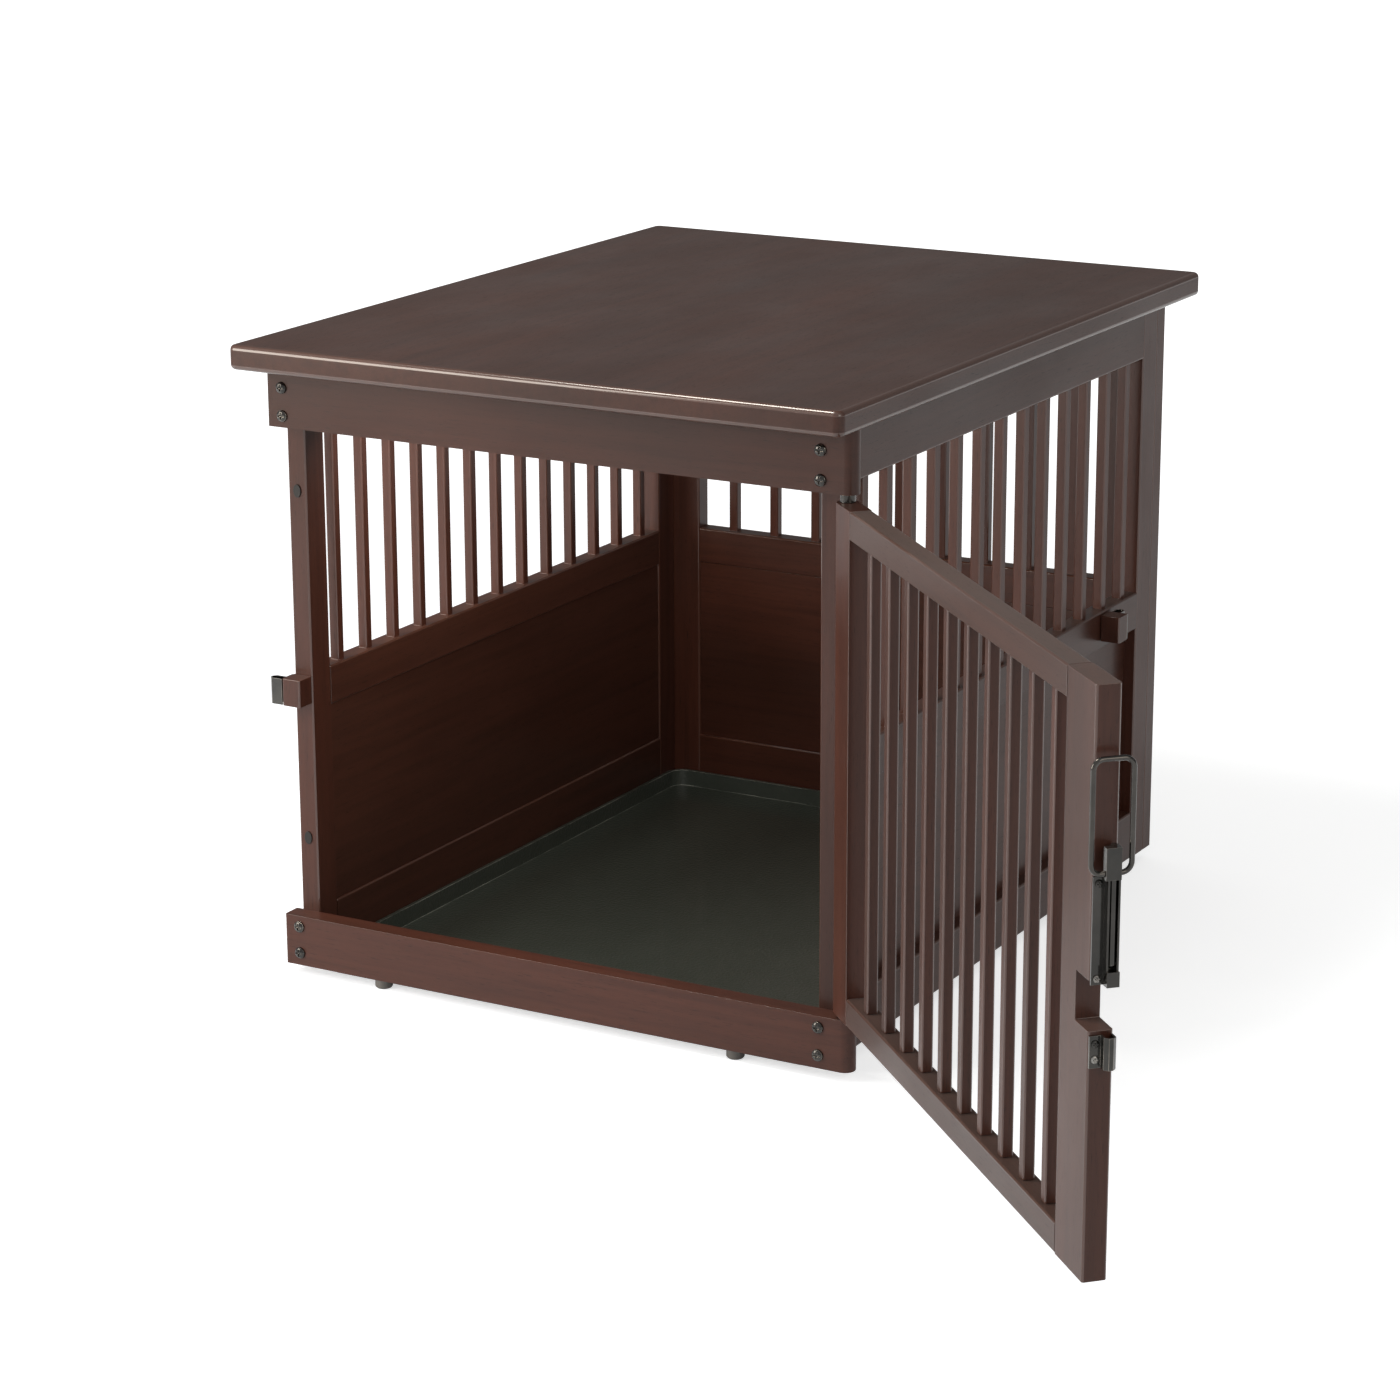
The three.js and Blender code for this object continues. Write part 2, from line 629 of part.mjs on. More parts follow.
// ---- keepers: a block with a strap on its end, where the door's free end arrives ----
function keeper(side, seatY, direction) {
  const group = new THREE.Group();
  const from = keeperReachFromPivot - keeperWidth;
  const [yLow, yHigh] = ordered(seatY + direction * seat, seatY + direction * keeperDepth);
  group.add(board(`${side}_keeper_block`, "z", [from, yLow, keeperLevel],
    [keeperReachFromPivot, yHigh, keeperLevel + keeperHeight], woodSide));
  const bottom = keeperLevel + (keeperHeight - strapHeight) / 2;
  group.add(strap(`${side}_keeper_strap`, keeperReachFromPivot, yLow + strapEdge, keeperReach, bottom));
  return group;
}

// ---- removable tray, standing on the floor inside the crate ----
function floorTray() {
  const width = 2 * (innerX - trayGap);
  const depth = backInner - railBack - 2 * trayGap;
  const y = (backInner + railBack) / 2;
  const outerShape = roundedRectangle(width, depth, trayCornerRadius);
  const innerRadius = trayCornerRadius - trayWall;
  const innerShape = roundedRectangle(width - 2 * trayWall, depth - 2 * trayWall, innerRadius);
  const shell = piece("floor_tray", prism(outerShape, trayHeight, 5), trayPlastic, 0, y, trayHeight / 2);
  const hollow = piece("", prism(innerShape, trayHeight, 5), trayPlastic, 0, y, trayFloor + trayHeight / 2);
  return carve(shell, [hollow]);
}

// ---- bumpers on the left front stile ----
function bumper(name, level) {
  const shape = new THREE.Shape();
  shape.absellipse(0, 0, bumperWidth / 2, bumperHeight / 2, 0, 2 * Math.PI, false, 0);
  const geometry = prism(shape, bumperThickness, 10);
  geometry.rotateX(Math.PI / 2);
  return piece(name, geometry, rubber, -(innerX + outerX) / 2, railBack - bumperThickness / 2, level);
}

// ---- the whole table ----
function turnedAtPivot(degrees, ...children) {
  const group = new THREE.Group();
  group.position.set(pivotX, pivotY, 0);
  group.rotation.z = THREE.MathUtils.degToRad(degrees);
  group.add(...children);
  return group;
}

const crate = new THREE.Group();
crate.add(tableTop());

const railFootHoles = [-1, 1].map((sign) => footHole(sign * footOffset, frontRailMiddle, footHeight));
const frontHoles = [...pinHoles(pivotX, pivotY), ...screwPlaces().map(screwHole)];
const topRail = frontRail("front_top_rail", undersideLevel - topRailHeight, topRailHeight);
const bottomRail = frontRail("front_bottom_rail", footHeight, bottomRailHeight);
crate.add(carve(topRail, frontHoles), carve(bottomRail, [...frontHoles, ...railFootHoles]));
crate.add(sidePanel("left", -1), sidePanel("right", 1), backPanel(), floorTray());

for (const [side, sign] of [["left", -1], ["right", 1]]) {
  crate.add(foot(`front_${side}_foot`, sign * footOffset, frontRailMiddle, footHeight));
  crate.add(foot(`rear_${side}_foot`, sign * footOffset, backMiddle, panelBottom));
}
crate.add(...screwPlaces().map(screw));
crate.add(pivotPin("lower_pivot_pin", doorBottom - doorBottomGap, doorBottom));
crate.add(pivotPin("upper_pivot_pin", doorTop, doorTop + doorTopGap));
crate.add(bumper("lower_bumper", lowerBumperLevel), bumper("upper_bumper", upperBumperLevel));

// Closed, the door points to -X from its pivot; folded right back it points to +Y.
const guide = strap("latch_guide", doorReach, -endRadius + strapEdge, rodReach, guideLevel);
crate.add(turnedAtPivot(180 + doorOpenAngle, door(), latchChannel(), latchBolt(), latchHandle(), guide));
crate.add(turnedAtPivot(180, keeper("left", pivotY - railBack, 1)));
crate.add(turnedAtPivot(90, keeper("right", pivotX - outerX, -1)));

crate.position.z = -tableHeight;
console.log(`table ${topWidth} x ${topDepth} x ${tableHeight} mm`);
console.log(`door ${doorReach + endRadius} mm long, bolt travel ${boltTravel} mm`);

export default crate;
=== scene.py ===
# %% [markdown]
# # A dog crate end table
# The table is a framed wooden crate with barred sides under a solid top, and its front door stands open.
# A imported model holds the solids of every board, bar and fitting. This lesson dresses that model: the
# boards get rounded arrises and a stained, lacquered wood finish, the fittings get their wire and small
# screws, and a small studio lights it all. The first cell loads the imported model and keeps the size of
# its box.

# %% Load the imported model
import json
import math
import bmesh
import bpy
from mathutils import Matrix, Vector


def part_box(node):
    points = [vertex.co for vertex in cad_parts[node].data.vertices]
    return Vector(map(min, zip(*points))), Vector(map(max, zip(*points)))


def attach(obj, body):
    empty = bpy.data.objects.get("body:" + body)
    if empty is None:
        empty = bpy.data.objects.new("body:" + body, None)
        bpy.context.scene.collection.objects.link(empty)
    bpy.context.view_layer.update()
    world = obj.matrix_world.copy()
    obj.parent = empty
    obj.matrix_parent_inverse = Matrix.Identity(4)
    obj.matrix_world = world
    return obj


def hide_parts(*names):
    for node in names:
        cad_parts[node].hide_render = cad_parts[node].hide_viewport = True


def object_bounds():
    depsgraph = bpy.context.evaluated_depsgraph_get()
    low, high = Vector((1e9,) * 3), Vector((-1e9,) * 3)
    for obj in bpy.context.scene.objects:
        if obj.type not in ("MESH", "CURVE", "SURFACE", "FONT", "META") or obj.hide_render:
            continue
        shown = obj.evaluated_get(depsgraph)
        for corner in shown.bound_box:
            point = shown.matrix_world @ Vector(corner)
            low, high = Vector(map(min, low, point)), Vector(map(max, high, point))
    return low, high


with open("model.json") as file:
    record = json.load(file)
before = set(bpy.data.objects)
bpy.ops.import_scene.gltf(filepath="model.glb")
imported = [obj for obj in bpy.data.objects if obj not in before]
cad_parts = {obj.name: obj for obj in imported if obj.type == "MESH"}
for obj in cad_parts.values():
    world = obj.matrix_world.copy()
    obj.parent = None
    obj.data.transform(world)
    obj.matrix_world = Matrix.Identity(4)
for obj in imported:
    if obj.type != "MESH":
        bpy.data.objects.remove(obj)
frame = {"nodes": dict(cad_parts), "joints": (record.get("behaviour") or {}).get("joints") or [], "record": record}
packed_box = [list(corner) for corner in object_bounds()]
mm = 0.001
floor_level = packed_box[0][2]
bodies = frame["record"]["behaviour"]["bodies"]
rides_on = {node: body for body, nodes in bodies.items() for node in nodes}
print(f"{len(frame['nodes'])} nodes, {-floor_level:.3f} m high")

# %% [markdown]
# ## Camera
# The photograph was taken from the right of the front with a long lens, looking down from above the
# tabletop. The camera is placed by turning it left, tilting it down and rolling it a trace, in that
# order, so each angle keeps a plain meaning. A track constraint would also aim it, but it can't give the
# roll.

# %% Place the camera
quarter = math.pi / 2
camera_place = Vector((1.7033, -3.0805, 0.6370))
camera_turn = math.radians(29.51)
camera_tilt = math.radians(16.0)
camera_roll = math.radians(-0.22)
lens = bpy.data.cameras.new("photo_camera")
lens.sensor_width = 36
lens.lens = 100.6
camera = bpy.data.objects.new("photo_camera", lens)
bpy.context.scene.collection.objects.link(camera)
camera.matrix_world = (
    Matrix.Translation(camera_place)
    @ Matrix.Rotation(camera_turn, 4, "Z")
    @ Matrix.Rotation(quarter - camera_tilt, 4, "X")
    @ Matrix.Rotation(camera_roll, 4, "Z")
)
bpy.context.scene.camera = camera
print(f"camera {camera_place.length:.2f} m from the tabletop's centre")

# %% [markdown]
# ## Node helpers
# A shader is a small graph, and wiring it link by link hides what it does. The first helper adds one
# node, and each of its inputs is either a plain value or the output of another node, so a graph reads
# like a recipe. The next three add the nodes that are used most: a step of arithmetic, a mix of two
# colours, and a range fitted to another.

# %% Helpers that add one node each
def add_node(tree, kind, inputs=None, **settings):
    made = tree.nodes.new(kind)
    for name, value in settings.items():
        setattr(made, name, value)
    for name, value in (inputs or {}).items():
        if isinstance(value, bpy.types.NodeSocket):
            tree.links.new(value, made.inputs[name])
        else:
            made.inputs[name].default_value = value
    return made


def add_math(tree, operation, *values):
    return add_node(tree, "ShaderNodeMath", dict(enumerate(values)), operation=operation).outputs[0]


def add_mix(tree, factor, first, second):
    inputs = {"Factor": factor, 6: first, 7: second}
    return add_node(tree, "ShaderNodeMix", inputs, data_type="RGBA").outputs[2]


def add_fit(tree, value, low, high, to_low=0.0, to_high=1.0, blend="LINEAR"):
    inputs = {"Value": value, "From Min": low, "From Max": high, "To Min": to_low, "To Max": to_high}
    return add_node(tree, "ShaderNodeMapRange", inputs, interpolation_type=blend).outputs[0]


print("node helpers ready")

# %% [markdown]
# A material and a node group each start the same way every time, so they get a helper too.

# %% Helpers that start a material or a group
def new_material(name):
    material = bpy.data.materials.new(name)
    material.use_nodes = True
    material.node_tree.nodes.clear()
    return material, material.node_tree


def new_group(name, inputs, outputs):
    group = bpy.data.node_groups.new(name, "ShaderNodeTree")
    for socket, kind, value in inputs:
        made = group.interface.new_socket(name=socket, in_out="INPUT", socket_type=kind)
        if value is not None:
            made.default_value = value
    for socket, kind in outputs:
        group.interface.new_socket(name=socket, in_out="OUTPUT", socket_type=kind)
    return group, group.nodes.new("NodeGroupInput"), group.nodes.new("NodeGroupOutput")


def connect_surface(tree, shader):
    output = tree.nodes.new("ShaderNodeOutputMaterial")
    tree.links.new(shader, output.inputs["Surface"])


print("material and group helpers ready")

# %% [markdown]
# ## Studio
# The table stands in a white room. The camera sees the world as plain white, and reflections see its
# walls, bright in front and dimmer behind, as in a studio that is lit from the front. The wood itself
# gets a lower, even light. A backdrop mesh could stand behind, but a white world needs no seam.

# %% Room light
white = (1, 1, 1, 1)
warm_white = (1.0, 0.92, 0.82, 1)
wall_blend = 0.6


def room_world(ambient, front_wall, rear_wall):
    world = bpy.data.worlds.new("white_room")
    world.use_nodes = True
    tree = world.node_tree
    tree.nodes.clear()
    path = add_node(tree, "ShaderNodeLightPath")
    looking = add_node(tree, "ShaderNodeTexCoord")
    looking = add_node(tree, "ShaderNodeSeparateXYZ", {0: looking.outputs["Generated"]})
    walls = add_fit(tree, looking.outputs["Y"], -wall_blend, wall_blend, front_wall, rear_wall, "SMOOTHSTEP")
    light = add_node(tree, "ShaderNodeBackground", {"Color": warm_white, "Strength": ambient})
    mirrored = add_node(tree, "ShaderNodeBackground", {"Color": white, "Strength": walls})
    shell = add_node(tree, "ShaderNodeBackground", {"Color": white, "Strength": 1.0})
    seen = add_math(tree, "MAXIMUM", path.outputs["Is Camera Ray"], path.outputs["Is Transmission Ray"])
    room = add_node(tree, "ShaderNodeMixShader", {
        0: path.outputs["Is Glossy Ray"], 1: light.outputs[0], 2: mirrored.outputs[0]})
    room = add_node(tree, "ShaderNodeMixShader", {0: seen, 1: room.outputs[0], 2: shell.outputs[0]})
    output = tree.nodes.new("ShaderNodeOutputWorld")
    tree.links.new(room.outputs[0], output.inputs["Surface"])
    return world


bpy.context.scene.world = room_world(ambient=0.46, front_wall=0.6, rear_wall=0.17)
bpy.context.scene.view_settings.view_transform = "Standard"
print("room ready")

# %% [markdown]
# Three wide, slightly warm softboxes add shape: the left one lights the front, the right one the door,
# and the overhead one the top. A slim lamp under the tabletop lights the inside of the crate, and the
# camera doesn't see it.

# %% Softboxes and the lamp inside
def softbox(name, place, aim, width, height, watts):
    data = bpy.data.lights.new(name, "AREA")
    data.shape = "RECTANGLE"
    data.size = width
    data.size_y = height
    data.energy = watts
    data.color = warm_white[:3]
    lamp = bpy.data.objects.new(name, data)
    lamp.location = place
    lamp.rotation_euler = (Vector(aim) - Vector(place)).to_track_quat("-Z", "Y").to_euler()
    bpy.context.scene.collection.objects.link(lamp)
    return lamp


crate_middle = (0.1, -0.1, -0.3)
softbox("left_softbox", (-1.35, -1.7, 0.38), crate_middle, width=1.2, height=1.2, watts=34)
softbox("right_softbox", (2.7, -1.6, 0.9), crate_middle, width=1.4, height=1.4, watts=12)
softbox("overhead_softbox", (-0.75, -0.75, 1.9), crate_middle, width=0.5, height=0.7, watts=25)
cabin_lamp = softbox("cabin_lamp", (0, -0.28, -0.05), (0, 0.3, -0.55), width=0.4, height=0.04, watts=1.4)
cabin_lamp.visible_camera = False
print(f"{len(bpy.data.lights)} lamps")

# %% [markdown]
# The floor is a wide pale sheet. It glows for the camera, less near the table, so that it fades into the
# white world while the table's shadow stays on it. Reflections see only about a third of that glow. The
# sheet is slightly blue, which the warm lamps turn neutral.

# %% Pale floor
floor_color = (0.72, 0.79, 0.88, 1)
glow_from = 0.9
glow_to = 3.0


def pale_floor(size, level, near_glow, mirrored_share):
    shape = bmesh.new()
    place = Matrix.Translation((0, 0, level))
    bmesh.ops.create_grid(shape, x_segments=2, y_segments=2, size=size, matrix=place)
    mesh = bpy.data.meshes.new("studio_floor")
    shape.to_mesh(mesh)
    shape.free()
    floor = bpy.data.objects.new("studio_floor", mesh)
    bpy.context.scene.collection.objects.link(floor)
    material, tree = new_material("pale_floor")
    path = add_node(tree, "ShaderNodeLightPath")
    spot = add_node(tree, "ShaderNodeTexCoord")
    away = add_node(tree, "ShaderNodeVectorMath", {0: spot.outputs["Object"]}, operation="LENGTH")
    glow = add_fit(tree, away.outputs["Value"], glow_from, glow_to, near_glow, 1.0, "SMOOTHSTEP")
    mirrored = add_math(tree, "MULTIPLY", path.outputs["Is Glossy Ray"], mirrored_share)
    seen = add_math(tree, "MAXIMUM", mirrored, path.outputs["Is Camera Ray"])
    surface = add_node(tree, "ShaderNodeBsdfPrincipled", {
        "Base Color": floor_color, "Roughness": 0.9, "Specular IOR Level": 0.1, "Emission Color": white,
        "Emission Strength": add_math(tree, "MULTIPLY", seen, glow)})
    connect_surface(tree, surface.outputs[0])
    mesh.materials.append(material)


pale_floor(size=14, level=floor_level, near_glow=0.62, mirrored_share=0.35)
print("floor ready")

# %% [markdown]
# ## Stained wood
# The crate is made of close-grained hardwood under a dark red-brown stain and a satin lacquer. Three
# things show up close: slow changes of tone along a board, faint growth streaks, and short dark pores
# where the stain gathers. Each is a noise texture stretched along the grain. Every board carries its own
# number in the attribute `board`, which the noises use as their fourth coordinate, so that no two boards
# share a pattern. The attribute `arris` marks the eased and rounded edges, where a lighter colour is
# mixed in: partly stain rubbed thinner, and partly a painted highlight line along the edge.
# An image of wood would repeat, and would need seams and a direction on each piece.

# %% Wood grain group
streak_brown = (0.018, 0.006, 0.004, 1)
pore_black = (0.006, 0.003, 0.002, 1)
# A lighter colour for the arrises: partly rubbed stain, partly a painted highlight line.
rubbed_and_highlight_stain = (0.13, 0.055, 0.034, 1)
board_spacing = 40.0
tone_share = 0.6
board_share = 0.35
arris_wear_and_highlight = 0.25
pore_roughness = 0.15
streak_relief = -0.25
pore_relief = -1.0


def grain_group():
    color, number, vector = "NodeSocketColor", "NodeSocketFloat", "NodeSocketVector"
    group, given, result = new_group(
        "stained_wood_grain",
        [("Vector", vector, None), ("Stain", color, (0.055, 0.017, 0.010, 1)),
         ("Shade", color, (0.02, 0.007, 0.005, 1)), ("Board", number, 0.0), ("Arris", number, 0.0),
         ("Streaks", number, 0.5), ("Pores", number, 0.5)],
        [("Color", color), ("Roughness", number), ("Height", number)])
    own = add_math(group, "MULTIPLY", given.outputs["Board"], board_spacing)

    def stretched_noise(along, across, detail, roughness=0.5, distortion=0.0):
        scale = (along, across, across)
        place = add_node(group, "ShaderNodeMapping", {"Vector": given.outputs["Vector"], "Scale": scale})
        return add_node(group, "ShaderNodeTexNoise", {
            "Vector": place.outputs[0], "W": own, "Scale": 1.0, "Detail": detail,
            "Roughness": roughness, "Distortion": distortion}, noise_dimensions="4D").outputs[0]

    tone = add_fit(group, stretched_noise(along=2.2, across=9.0, detail=3.0), 0.32, 0.68)
    streak = stretched_noise(along=5.0, across=130.0, detail=5.0, roughness=0.6, distortion=0.6)
    streak = add_math(group, "MULTIPLY", add_fit(group, streak, 0.42, 0.66), given.outputs["Streaks"])
    pore = stretched_noise(along=95.0, across=1300.0, detail=2.0, roughness=0.55)
    pore = add_math(group, "MULTIPLY", add_fit(group, pore, 0.60, 0.72), given.outputs["Pores"])
    board_tone = add_fit(group, given.outputs["Board"], 0.0, 1.0, 0.0, board_share)
    depth = add_math(group, "MULTIPLY_ADD", tone, tone_share, board_tone)
    # Mixes that lighter colour in on the arrises, as rubbed stain and as a painted highlight line.
    wear_and_highlight = add_math(group, "MULTIPLY", given.outputs["Arris"], arris_wear_and_highlight)
    stained = add_mix(group, depth, given.outputs["Stain"], given.outputs["Shade"])
    stained = add_mix(group, streak, stained, streak_brown)
    stained = add_mix(group, pore, stained, pore_black)
    stained = add_mix(group, wear_and_highlight, stained, rubbed_and_highlight_stain)
    satin = add_fit(group, stretched_noise(along=9.0, across=14.0, detail=4.0), 0.3, 0.7, 0.30, 0.42)
    rough = add_math(group, "MULTIPLY_ADD", pore, pore_roughness, satin)
    streak_height = add_math(group, "MULTIPLY", streak, streak_relief)
    relief = add_math(group, "MULTIPLY_ADD", pore, pore_relief, streak_height)
    group.links.new(stained, result.inputs["Color"])
    group.links.new(rough, result.inputs["Roughness"])
    group.links.new(relief, result.inputs["Height"])
    return group


wood_grain = grain_group()
print(f"{wood_grain.name}: {len(wood_grain.nodes)} nodes")

# %% [markdown]
# One material is made for each direction in which a board's grain runs, and a Mapping node turns the
# group's pattern to it. The door's boards and the tabletop have their own. The lacquer is the shader's
# coat, and it lies thicker on the arrises, where it catches the light. A little sheen lifts faces that
# are seen at a slant, and the door's boards have more of it than the others.

# %% Wood materials by grain direction
red_stain = (0.088, 0.028, 0.017, 1)
brown_stain = (0.074, 0.026, 0.016, 1)
deep_shade = (0.038, 0.014, 0.009, 1)
grain_depth = 0.2 * mm
arris_coat = 0.9


def wood_material(name, grain_turn, stain, streaks=0.35, pores=0.6, coat=0.1, haze=0.02):
    material, tree = new_material(name)
    place = add_node(tree, "ShaderNodeTexCoord")
    turned = add_node(tree, "ShaderNodeMapping", {"Vector": place.outputs["Object"], "Rotation": grain_turn})
    board = add_node(tree, "ShaderNodeAttribute", attribute_name="board")
    arris = add_node(tree, "ShaderNodeAttribute", attribute_name="arris")
    grain = tree.nodes.new("ShaderNodeGroup")
    grain.node_tree = wood_grain
    tree.links.new(turned.outputs[0], grain.inputs["Vector"])
    tree.links.new(board.outputs["Fac"], grain.inputs["Board"])
    tree.links.new(arris.outputs["Fac"], grain.inputs["Arris"])
    for socket, value in {"Stain": stain, "Shade": deep_shade, "Streaks": streaks, "Pores": pores}.items():
        grain.inputs[socket].default_value = value
    bump = add_node(tree, "ShaderNodeBump", {
        "Height": grain.outputs["Height"], "Strength": 0.25, "Distance": grain_depth})
    lacquer = add_fit(tree, arris.outputs["Fac"], 0.0, 1.0, coat, arris_coat)
    surface = add_node(tree, "ShaderNodeBsdfPrincipled", {
        "Base Color": grain.outputs["Color"], "Roughness": grain.outputs["Roughness"],
        "Normal": bump.outputs[0], "Coat Weight": lacquer, "Coat Roughness": 0.12, "Coat IOR": 1.65,
        "Specular IOR Level": 0.3, "Sheen Weight": haze, "Sheen Roughness": 0.4})
    connect_surface(tree, surface.outputs[0])
    return material


hinge = next(joint for joint in frame["joints"] if joint["name"] == "door_hinge")
pivot = Vector(hinge["pos_m"])
door_turn = math.pi - math.radians(hinge["range_deg"][0])
wood = {
    "x": wood_material("wood_along_x", (0, 0, 0), red_stain),
    "y": wood_material("wood_along_y", (0, 0, -quarter), brown_stain),
    "z": wood_material("wood_upright", (0, quarter, 0), red_stain),
    "door": wood_material("wood_along_door", (0, 0, -door_turn), brown_stain, haze=0.17),
    "door_z": wood_material("wood_door_upright", (0, quarter, 0), red_stain, haze=0.15),
    "top": wood_material("wood_tabletop", (0, 0, -quarter), brown_stain, pores=0.7, coat=0.15),
}
print(f"door turned {math.degrees(door_turn):.1f} degrees from +X")

# %% [markdown]
# ## Metal, plastic and rubber
# The rail screws and the latch have a dark bronze finish that wears bright on its edges. The wire handle
# is dark polished steel, and the lower screw of each latch plate is bright zinc. The tray is a moulded
# plastic with a fine pebble and an almost even tone, the bumpers are soft rubber and the feet are grey
# nylon. One group serves them all: it gives a mottled tone, and a pebbled height at a size set by each
# material.

# %% Speckle group
def speckle_group():
    number, vector = "NodeSocketFloat", "NodeSocketVector"
    group, given, result = new_group(
        "speckle",
        [("Vector", vector, None), ("Pebble Size", number, 0.001)],
        [("Tone", number), ("Height", number)])
    place = given.outputs["Vector"]
    scale = add_math(group, "DIVIDE", 1.0, given.outputs["Pebble Size"])
    pebble = add_node(group, "ShaderNodeTexNoise", {
        "Vector": place, "Scale": scale, "Detail": 2.0, "Roughness": 0.5})
    mottle = add_node(group, "ShaderNodeTexNoise", {
        "Vector": place, "Scale": 26.0, "Detail": 5.0, "Roughness": 0.6})
    group.links.new(mottle.outputs[0], result.inputs["Tone"])
    group.links.new(pebble.outputs[0], result.inputs["Height"])
    return group


speckle = speckle_group()
print(f"{speckle.name}: {len(speckle.nodes)} nodes")

# %% [markdown]
# Each of these materials runs from a dark tone to a light one with the mottle, and its gloss changes
# with it. Where an edge colour is given, it shows on the arrises in patches: on the metals as worn
# finish, on the tray as a painted highlight along its rim.

# %% The small materials
mottle_low, mottle_high = 0.35, 0.65
pebble_depth = 0.3


def speckled_material(name, dark, light, pebble, relief, rough, metallic=0.0, coat=0.0, edge=None):
    material, tree = new_material(name)
    place = add_node(tree, "ShaderNodeTexCoord")
    pebbles = tree.nodes.new("ShaderNodeGroup")
    pebbles.node_tree = speckle
    tree.links.new(place.outputs["Object"], pebbles.inputs["Vector"])
    pebbles.inputs["Pebble Size"].default_value = pebble
    tone = add_fit(tree, pebbles.outputs["Tone"], mottle_low, mottle_high)
    color = add_mix(tree, tone, dark, light)
    if edge:
        arris = add_node(tree, "ShaderNodeAttribute", attribute_name="arris")
        # Patches of the edge colour on the arrises: worn finish on the metals, a painted highlight on the tray.
        edge_wear_and_highlight = add_math(tree, "MULTIPLY", arris.outputs["Fac"], tone)
        color = add_mix(tree, edge_wear_and_highlight, color, edge)
    gloss = add_fit(tree, pebbles.outputs["Tone"], mottle_low, mottle_high, *rough)
    bump = add_node(tree, "ShaderNodeBump", {
        "Height": pebbles.outputs["Height"], "Strength": relief, "Distance": pebble * pebble_depth})
    surface = add_node(tree, "ShaderNodeBsdfPrincipled", {
        "Base Color": color, "Roughness": gloss, "Metallic": metallic, "Normal": bump.outputs[0],
        "Coat Weight": coat, "Coat Roughness": 0.1})
    connect_surface(tree, surface.outputs[0])
    return material


bronze = speckled_material(
    "dark_bronze", (0.016, 0.015, 0.013, 1), (0.044, 0.040, 0.035, 1), pebble=0.0006, relief=0.15,
    rough=(0.11, 0.22), metallic=0.85, coat=0.8, edge=(0.40, 0.36, 0.31, 1))
wire_steel = speckled_material(
    "polished_wire", (0.035, 0.032, 0.029, 1), (0.075, 0.068, 0.060, 1), pebble=0.0006, relief=0.1,
    rough=(0.07, 0.14), metallic=1.0, coat=0.7)
zinc_steel = speckled_material(
    "zinc_screw", (0.16, 0.15, 0.14, 1), (0.32, 0.31, 0.29, 1), pebble=0.0005, relief=0.15,
    rough=(0.16, 0.30), metallic=0.95, coat=0.3, edge=(0.6, 0.58, 0.55, 1))
# The tray's pale edge colour is a painted highlight along its rim.
tray_plastic = speckled_material(
    "pebbled_tray", (0.047, 0.058, 0.050, 1), (0.051, 0.062, 0.054, 1), pebble=0.0030, relief=0.8,
    rough=(0.32, 0.34), coat=0.4, edge=(0.42, 0.45, 0.42, 1))
bumper_rubber = speckled_material(
    "bumper_rubber", (0.008, 0.007, 0.006, 1), (0.016, 0.014, 0.013, 1), pebble=0.0008, relief=0.4,
    rough=(0.6, 0.75))
glide_nylon = speckled_material(
    "glide_nylon", (0.09, 0.085, 0.08, 1), (0.14, 0.13, 0.12, 1), pebble=0.0015, relief=0.3,
    rough=(0.45, 0.6))
print("materials:", ", ".join(material.name for material in bpy.data.materials))

# %% [markdown]
# ## Rounded arrises
# A sawn board never has knife edges: sanding leaves a small round that catches a line of light. The
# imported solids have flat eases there. Each solid is copied, its loose triangles are merged into whole
# faces, and a bevel rounds every sharp edge. The faces that the bevel makes, and the solid's own narrow
# eases, are marked in the attribute `arris`. A bevel modifier would round the same edges, but then the
# material couldn't tell the arris from the face. The board numbers step by the golden ratio, which
# spreads them evenly.

# %% Helpers for rounded copies
merge_distance = 0.001 * mm
flat_angle = math.radians(0.5)
golden_step = 0.618034
board_count = 0


def next_board():
    global board_count
    board_count += 1
    return board_count * golden_step % 1.0


def merged_solid(node):
    shape = bmesh.new()
    shape.from_mesh(frame["nodes"][node].data)
    for layer in list(shape.loops.layers.uv):
        shape.loops.layers.uv.remove(layer)
    bmesh.ops.remove_doubles(shape, verts=shape.verts, dist=merge_distance)
    return shape


def round_edges(shape, edges, radius, segments):
    made = bmesh.ops.bevel(
        shape, geom=edges, offset=radius, offset_type="OFFSET", segments=segments, profile=0.5,
        affect="EDGES", clamp_overlap=True, material=-1)
    return made["faces"]


def mark_board(shape, number, rounded_faces=(), ease_width=0.0):
    board = shape.loops.layers.float.new("board")
    arris = shape.loops.layers.float.new("arris")
    rounded = set(rounded_faces)
    for face in shape.faces:
        if face.calc_area() < ease_width * max(edge.calc_length() for edge in face.edges):
            rounded.add(face)
        for corner in face.loops:
            corner[board] = number
            corner[arris] = 1.0 if face in rounded else 0.0


print("rounding helpers ready")

# %% [markdown]
# A finished shape becomes an object that rides on its node's body and takes the material it is given.
# Weighted normals keep the wide faces flat and let the shading turn only in the rounds.

# %% Pieces from shapes
def to_piece(shape, name, material, node, smooth_angle=35):
    mesh = bpy.data.meshes.new(name)
    shape.to_mesh(mesh)
    shape.free()
    mesh.shade_smooth()
    mesh.set_sharp_from_angle(angle=math.radians(smooth_angle))
    mesh.materials.append(material)
    piece = bpy.data.objects.new(name, mesh)
    bpy.context.scene.collection.objects.link(piece)
    piece.modifiers.new("even_shading", "WEIGHTED_NORMAL").keep_sharp = True
    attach(piece, rides_on[node])
    return piece


